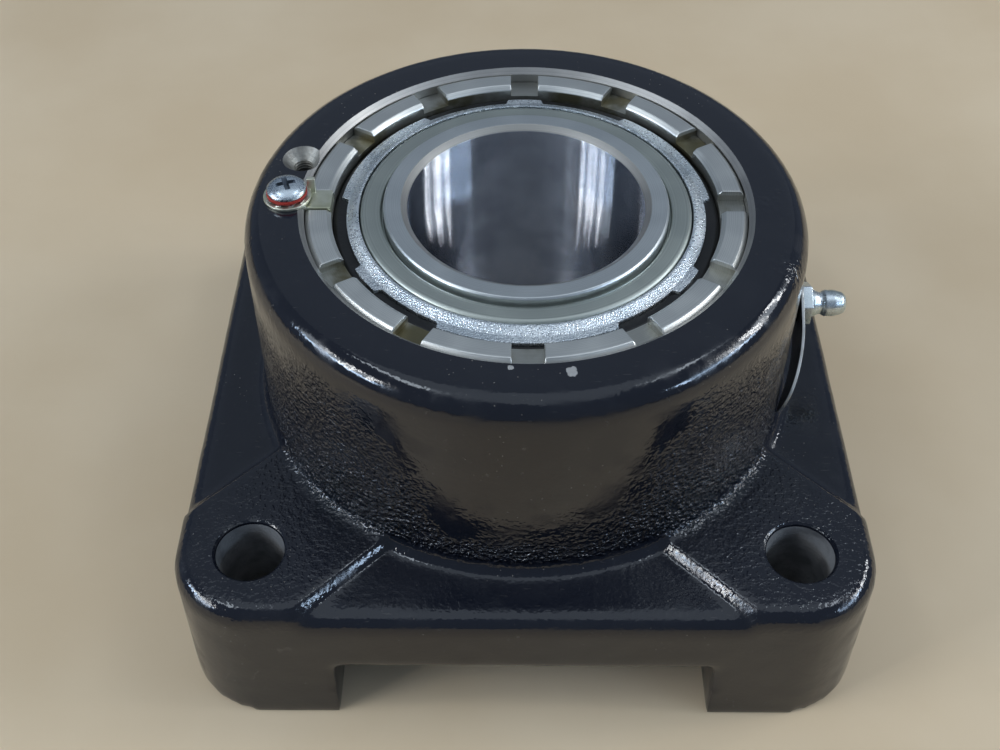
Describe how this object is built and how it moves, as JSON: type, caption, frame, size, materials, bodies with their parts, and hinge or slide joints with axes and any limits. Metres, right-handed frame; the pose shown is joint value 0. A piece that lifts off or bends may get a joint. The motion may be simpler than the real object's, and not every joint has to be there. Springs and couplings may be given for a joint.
{
  "type": "four-bolt flange bearing",
  "caption": "Cast four-bolt flange bearing unit with an adjustable double-row tapered roller bearing, slotted adjusting nut, nut lock, seals and grease fitting.",
  "frame": {"origin": "centre of the mounting face, on the shaft's axis, at the height of the four feet", "axes": "+Z along the shaft's axis out of the open face, +X towards the grease fitting, -X towards the nut lock"},
  "size_m": [0.1774, 0.1774, 0.105],
  "materials": {
    "black_enamel": "grey iron casting under gloss black enamel",
    "nut_steel": "satin turned steel",
    "ring_steel": "ground and honed bearing steel",
    "race_steel": "ground bearing steel",
    "roller_steel": "polished bearing steel",
    "cage_steel": "pressed steel",
    "seal_rubber": "black nitrile",
    "retainer_zinc": "zinc-plated pressed steel",
    "flinger_steel": "matte grey steel",
    "tab_chromate": "olive chromate on steel",
    "plated_zinc": "bright zinc plate",
    "red_fibre": "red vulcanised fibre",
    "collar_black": "black oxide on steel",
    "fitting_zinc": "zinc plate with a yellow tint",
    "spring_steel": "drawn wire",
    "tag_metal": "mill-finish sheet"
  },
  "bodies": {
    "housing": {"housing": "black_enamel", "adjusting_nut": "nut_steel", "nut_lock_tab": "tab_chromate", "toothed_washer": "plated_zinc", "fibre_washer": "red_fibre", "nut_lock_screw": "plated_zinc", "upper_cup": "race_steel", "lower_cup": "race_steel", "upper_seal": "seal_rubber", "upper_seal_retainer": "retainer_zinc", "lower_seal": "seal_rubber", "lower_seal_retainer": "retainer_zinc", "grease_fitting": "fitting_zinc", "grease_spring": "spring_steel", "grease_tag": "tag_metal"},
    "inner_ring": {"inner_ring": "ring_steel", "upper_flinger": "flinger_steel", "lower_flinger": "flinger_steel", "locking_collar": "collar_black", "set_screws": "collar_black"},
    "upper_cage": {"upper_cage": "cage_steel"},
    "lower_cage": {"lower_cage": "cage_steel"},
    "grease_ball": {"grease_ball": "roller_steel"},
    "upper_roller_01": {"upper_roller_01": "roller_steel"},
    "upper_roller_02": {"upper_roller_02": "roller_steel"},
    "upper_roller_03": {"upper_roller_03": "roller_steel"},
    "upper_roller_04": {"upper_roller_04": "roller_steel"},
    "upper_roller_05": {"upper_roller_05": "roller_steel"},
    "upper_roller_06": {"upper_roller_06": "roller_steel"},
    "upper_roller_07": {"upper_roller_07": "roller_steel"},
    "upper_roller_08": {"upper_roller_08": "roller_steel"},
    "upper_roller_09": {"upper_roller_09": "roller_steel"},
    "upper_roller_10": {"upper_roller_10": "roller_steel"},
    "upper_roller_11": {"upper_roller_11": "roller_steel"},
    "upper_roller_12": {"upper_roller_12": "roller_steel"},
    "upper_roller_13": {"upper_roller_13": "roller_steel"},
    "upper_roller_14": {"upper_roller_14": "roller_steel"},
    "upper_roller_15": {"upper_roller_15": "roller_steel"},
    "upper_roller_16": {"upper_roller_16": "roller_steel"},
    "upper_roller_17": {"upper_roller_17": "roller_steel"},
    "upper_roller_18": {"upper_roller_18": "roller_steel"},
    "lower_roller_01": {"lower_roller_01": "roller_steel"},
    "lower_roller_02": {"lower_roller_02": "roller_steel"},
    "lower_roller_03": {"lower_roller_03": "roller_steel"},
    "lower_roller_04": {"lower_roller_04": "roller_steel"},
    "lower_roller_05": {"lower_roller_05": "roller_steel"},
    "lower_roller_06": {"lower_roller_06": "roller_steel"},
    "lower_roller_07": {"lower_roller_07": "roller_steel"},
    "lower_roller_08": {"lower_roller_08": "roller_steel"},
    "lower_roller_09": {"lower_roller_09": "roller_steel"},
    "lower_roller_10": {"lower_roller_10": "roller_steel"},
    "lower_roller_11": {"lower_roller_11": "roller_steel"},
    "lower_roller_12": {"lower_roller_12": "roller_steel"},
    "lower_roller_13": {"lower_roller_13": "roller_steel"},
    "lower_roller_14": {"lower_roller_14": "roller_steel"},
    "lower_roller_15": {"lower_roller_15": "roller_steel"},
    "lower_roller_16": {"lower_roller_16": "roller_steel"},
    "lower_roller_17": {"lower_roller_17": "roller_steel"},
    "lower_roller_18": {"lower_roller_18": "roller_steel"}
  },
  "joints": [
    {"name": "inner_ring_spin", "type": "hinge", "parent": "housing", "child": "inner_ring", "pos_m": [0, 0, 0.064], "axis": [0, 0, 1], "continuous": true},
    {"name": "upper_cage_spin", "type": "hinge", "parent": "housing", "child": "upper_cage", "pos_m": [0, 0, 0.07574], "axis": [0, 0, 1], "continuous": true},
    {"name": "upper_roller_01_spin", "type": "hinge", "parent": "upper_cage", "child": "upper_roller_01", "pos_m": [0.0446, 0, 0.07574], "axis": [-0.2079, 0, 0.9781], "continuous": true},
    {"name": "upper_roller_02_spin", "type": "hinge", "parent": "upper_cage", "child": "upper_roller_02", "pos_m": [0.04191, 0.01525, 0.07574], "axis": [-0.1954, -0.0711, 0.9781], "continuous": true},
    {"name": "upper_roller_03_spin", "type": "hinge", "parent": "upper_cage", "child": "upper_roller_03", "pos_m": [0.03417, 0.02867, 0.07574], "axis": [-0.1593, -0.1336, 0.9781], "continuous": true},
    {"name": "upper_roller_04_spin", "type": "hinge", "parent": "upper_cage", "child": "upper_roller_04", "pos_m": [0.0223, 0.03862, 0.07574], "axis": [-0.104, -0.1801, 0.9781], "continuous": true},
    {"name": "upper_roller_05_spin", "type": "hinge", "parent": "upper_cage", "child": "upper_roller_05", "pos_m": [0.00774, 0.04392, 0.07574], "axis": [-0.0361, -0.2048, 0.9781], "continuous": true},
    {"name": "upper_roller_06_spin", "type": "hinge", "parent": "upper_cage", "child": "upper_roller_06", "pos_m": [-0.00774, 0.04392, 0.07574], "axis": [0.0361, -0.2048, 0.9781], "continuous": true},
    {"name": "upper_roller_07_spin", "type": "hinge", "parent": "upper_cage", "child": "upper_roller_07", "pos_m": [-0.0223, 0.03862, 0.07574], "axis": [0.104, -0.1801, 0.9781], "continuous": true},
    {"name": "upper_roller_08_spin", "type": "hinge", "parent": "upper_cage", "child": "upper_roller_08", "pos_m": [-0.03417, 0.02867, 0.07574], "axis": [0.1593, -0.1336, 0.9781], "continuous": true},
    {"name": "upper_roller_09_spin", "type": "hinge", "parent": "upper_cage", "child": "upper_roller_09", "pos_m": [-0.04191, 0.01525, 0.07574], "axis": [0.1954, -0.0711, 0.9781], "continuous": true},
    {"name": "upper_roller_10_spin", "type": "hinge", "parent": "upper_cage", "child": "upper_roller_10", "pos_m": [-0.0446, 0, 0.07574], "axis": [0.2079, 0, 0.9781], "continuous": true},
    {"name": "upper_roller_11_spin", "type": "hinge", "parent": "upper_cage", "child": "upper_roller_11", "pos_m": [-0.04191, -0.01525, 0.07574], "axis": [0.1954, 0.0711, 0.9781], "continuous": true},
    {"name": "upper_roller_12_spin", "type": "hinge", "parent": "upper_cage", "child": "upper_roller_12", "pos_m": [-0.03417, -0.02867, 0.07574], "axis": [0.1593, 0.1336, 0.9781], "continuous": true},
    {"name": "upper_roller_13_spin", "type": "hinge", "parent": "upper_cage", "child": "upper_roller_13", "pos_m": [-0.0223, -0.03862, 0.07574], "axis": [0.104, 0.1801, 0.9781], "continuous": true},
    {"name": "upper_roller_14_spin", "type": "hinge", "parent": "upper_cage", "child": "upper_roller_14", "pos_m": [-0.00774, -0.04392, 0.07574], "axis": [0.0361, 0.2048, 0.9781], "continuous": true},
    {"name": "upper_roller_15_spin", "type": "hinge", "parent": "upper_cage", "child": "upper_roller_15", "pos_m": [0.00774, -0.04392, 0.07574], "axis": [-0.0361, 0.2048, 0.9781], "continuous": true},
    {"name": "upper_roller_16_spin", "type": "hinge", "parent": "upper_cage", "child": "upper_roller_16", "pos_m": [0.0223, -0.03862, 0.07574], "axis": [-0.104, 0.1801, 0.9781], "continuous": true},
    {"name": "upper_roller_17_spin", "type": "hinge", "parent": "upper_cage", "child": "upper_roller_17", "pos_m": [0.03417, -0.02867, 0.07574], "axis": [-0.1593, 0.1336, 0.9781], "continuous": true},
    {"name": "upper_roller_18_spin", "type": "hinge", "parent": "upper_cage", "child": "upper_roller_18", "pos_m": [0.04191, -0.01525, 0.07574], "axis": [-0.1954, 0.0711, 0.9781], "continuous": true},
    {"name": "lower_cage_spin", "type": "hinge", "parent": "housing", "child": "lower_cage", "pos_m": [0, 0, 0.05226], "axis": [0, 0, 1], "continuous": true},
    {"name": "lower_roller_01_spin", "type": "hinge", "parent": "lower_cage", "child": "lower_roller_01", "pos_m": [0.04392, 0.00774, 0.05226], "axis": [0.2048, 0.0361, 0.9781], "continuous": true},
    {"name": "lower_roller_02_spin", "type": "hinge", "parent": "lower_cage", "child": "lower_roller_02", "pos_m": [0.03862, 0.0223, 0.05226], "axis": [0.1801, 0.104, 0.9781], "continuous": true},
    {"name": "lower_roller_03_spin", "type": "hinge", "parent": "lower_cage", "child": "lower_roller_03", "pos_m": [0.02867, 0.03417, 0.05226], "axis": [0.1336, 0.1593, 0.9781], "continuous": true},
    {"name": "lower_roller_04_spin", "type": "hinge", "parent": "lower_cage", "child": "lower_roller_04", "pos_m": [0.01525, 0.04191, 0.05226], "axis": [0.0711, 0.1954, 0.9781], "continuous": true},
    {"name": "lower_roller_05_spin", "type": "hinge", "parent": "lower_cage", "child": "lower_roller_05", "pos_m": [0, 0.0446, 0.05226], "axis": [0, 0.2079, 0.9781], "continuous": true},
    {"name": "lower_roller_06_spin", "type": "hinge", "parent": "lower_cage", "child": "lower_roller_06", "pos_m": [-0.01525, 0.04191, 0.05226], "axis": [-0.0711, 0.1954, 0.9781], "continuous": true},
    {"name": "lower_roller_07_spin", "type": "hinge", "parent": "lower_cage", "child": "lower_roller_07", "pos_m": [-0.02867, 0.03417, 0.05226], "axis": [-0.1336, 0.1593, 0.9781], "continuous": true},
    {"name": "lower_roller_08_spin", "type": "hinge", "parent": "lower_cage", "child": "lower_roller_08", "pos_m": [-0.03862, 0.0223, 0.05226], "axis": [-0.1801, 0.104, 0.9781], "continuous": true},
    {"name": "lower_roller_09_spin", "type": "hinge", "parent": "lower_cage", "child": "lower_roller_09", "pos_m": [-0.04392, 0.00774, 0.05226], "axis": [-0.2048, 0.0361, 0.9781], "continuous": true},
    {"name": "lower_roller_10_spin", "type": "hinge", "parent": "lower_cage", "child": "lower_roller_10", "pos_m": [-0.04392, -0.00774, 0.05226], "axis": [-0.2048, -0.0361, 0.9781], "continuous": true},
    {"name": "lower_roller_11_spin", "type": "hinge", "parent": "lower_cage", "child": "lower_roller_11", "pos_m": [-0.03862, -0.0223, 0.05226], "axis": [-0.1801, -0.104, 0.9781], "continuous": true},
    {"name": "lower_roller_12_spin", "type": "hinge", "parent": "lower_cage", "child": "lower_roller_12", "pos_m": [-0.02867, -0.03417, 0.05226], "axis": [-0.1336, -0.1593, 0.9781], "continuous": true},
    {"name": "lower_roller_13_spin", "type": "hinge", "parent": "lower_cage", "child": "lower_roller_13", "pos_m": [-0.01525, -0.04191, 0.05226], "axis": [-0.0711, -0.1954, 0.9781], "continuous": true},
    {"name": "lower_roller_14_spin", "type": "hinge", "parent": "lower_cage", "child": "lower_roller_14", "pos_m": [0, -0.0446, 0.05226], "axis": [0, -0.2079, 0.9781], "continuous": true},
    {"name": "lower_roller_15_spin", "type": "hinge", "parent": "lower_cage", "child": "lower_roller_15", "pos_m": [0.01525, -0.04191, 0.05226], "axis": [0.0711, -0.1954, 0.9781], "continuous": true},
    {"name": "lower_roller_16_spin", "type": "hinge", "parent": "lower_cage", "child": "lower_roller_16", "pos_m": [0.02867, -0.03417, 0.05226], "axis": [0.1336, -0.1593, 0.9781], "continuous": true},
    {"name": "lower_roller_17_spin", "type": "hinge", "parent": "lower_cage", "child": "lower_roller_17", "pos_m": [0.03862, -0.0223, 0.05226], "axis": [0.1801, -0.104, 0.9781], "continuous": true},
    {"name": "lower_roller_18_spin", "type": "hinge", "parent": "lower_cage", "child": "lower_roller_18", "pos_m": [0.04392, -0.00774, 0.05226], "axis": [0.2048, -0.0361, 0.9781], "continuous": true},
    {"name": "grease_ball_slide", "type": "slide", "parent": "housing", "child": "grease_ball", "axis": [-1, 0, 0], "range_m": [0, 0.0008], "stiffness_N_per_m": 600, "springref_m": -0.0005, "deforming": ["grease_spring"]}
  ],
  "couplings": [
    {"joint": "upper_cage_spin", "follows": "inner_ring_spin", "ratio": 0.43969},
    {"joint": "upper_roller_01_spin", "follows": "inner_ring_spin", "ratio": -3.9956},
    {"joint": "upper_roller_02_spin", "follows": "inner_ring_spin", "ratio": -3.9956},
    {"joint": "upper_roller_03_spin", "follows": "inner_ring_spin", "ratio": -3.9956},
    {"joint": "upper_roller_04_spin", "follows": "inner_ring_spin", "ratio": -3.9956},
    {"joint": "upper_roller_05_spin", "follows": "inner_ring_spin", "ratio": -3.9956},
    {"joint": "upper_roller_06_spin", "follows": "inner_ring_spin", "ratio": -3.9956},
    {"joint": "upper_roller_07_spin", "follows": "inner_ring_spin", "ratio": -3.9956},
    {"joint": "upper_roller_08_spin", "follows": "inner_ring_spin", "ratio": -3.9956},
    {"joint": "upper_roller_09_spin", "follows": "inner_ring_spin", "ratio": -3.9956},
    {"joint": "upper_roller_10_spin", "follows": "inner_ring_spin", "ratio": -3.9956},
    {"joint": "upper_roller_11_spin", "follows": "inner_ring_spin", "ratio": -3.9956},
    {"joint": "upper_roller_12_spin", "follows": "inner_ring_spin", "ratio": -3.9956},
    {"joint": "upper_roller_13_spin", "follows": "inner_ring_spin", "ratio": -3.9956},
    {"joint": "upper_roller_14_spin", "follows": "inner_ring_spin", "ratio": -3.9956},
    {"joint": "upper_roller_15_spin", "follows": "inner_ring_spin", "ratio": -3.9956},
    {"joint": "upper_roller_16_spin", "follows": "inner_ring_spin", "ratio": -3.9956},
    {"joint": "upper_roller_17_spin", "follows": "inner_ring_spin", "ratio": -3.9956},
    {"joint": "upper_roller_18_spin", "follows": "inner_ring_spin", "ratio": -3.9956},
    {"joint": "lower_cage_spin", "follows": "inner_ring_spin", "ratio": 0.43969},
    {"joint": "lower_roller_01_spin", "follows": "inner_ring_spin", "ratio": -3.9956},
    {"joint": "lower_roller_02_spin", "follows": "inner_ring_spin", "ratio": -3.9956},
    {"joint": "lower_roller_03_spin", "follows": "inner_ring_spin", "ratio": -3.9956},
    {"joint": "lower_roller_04_spin", "follows": "inner_ring_spin", "ratio": -3.9956},
    {"joint": "lower_roller_05_spin", "follows": "inner_ring_spin", "ratio": -3.9956},
    {"joint": "lower_roller_06_spin", "follows": "inner_ring_spin", "ratio": -3.9956},
    {"joint": "lower_roller_07_spin", "follows": "inner_ring_spin", "ratio": -3.9956},
    {"joint": "lower_roller_08_spin", "follows": "inner_ring_spin", "ratio": -3.9956},
    {"joint": "lower_roller_09_spin", "follows": "inner_ring_spin", "ratio": -3.9956},
    {"joint": "lower_roller_10_spin", "follows": "inner_ring_spin", "ratio": -3.9956},
    {"joint": "lower_roller_11_spin", "follows": "inner_ring_spin", "ratio": -3.9956},
    {"joint": "lower_roller_12_spin", "follows": "inner_ring_spin", "ratio": -3.9956},
    {"joint": "lower_roller_13_spin", "follows": "inner_ring_spin", "ratio": -3.9956},
    {"joint": "lower_roller_14_spin", "follows": "inner_ring_spin", "ratio": -3.9956},
    {"joint": "lower_roller_15_spin", "follows": "inner_ring_spin", "ratio": -3.9956},
    {"joint": "lower_roller_16_spin", "follows": "inner_ring_spin", "ratio": -3.9956},
    {"joint": "lower_roller_17_spin", "follows": "inner_ring_spin", "ratio": -3.9956},
    {"joint": "lower_roller_18_spin", "follows": "inner_ring_spin", "ratio": -3.9956}
  ]
}
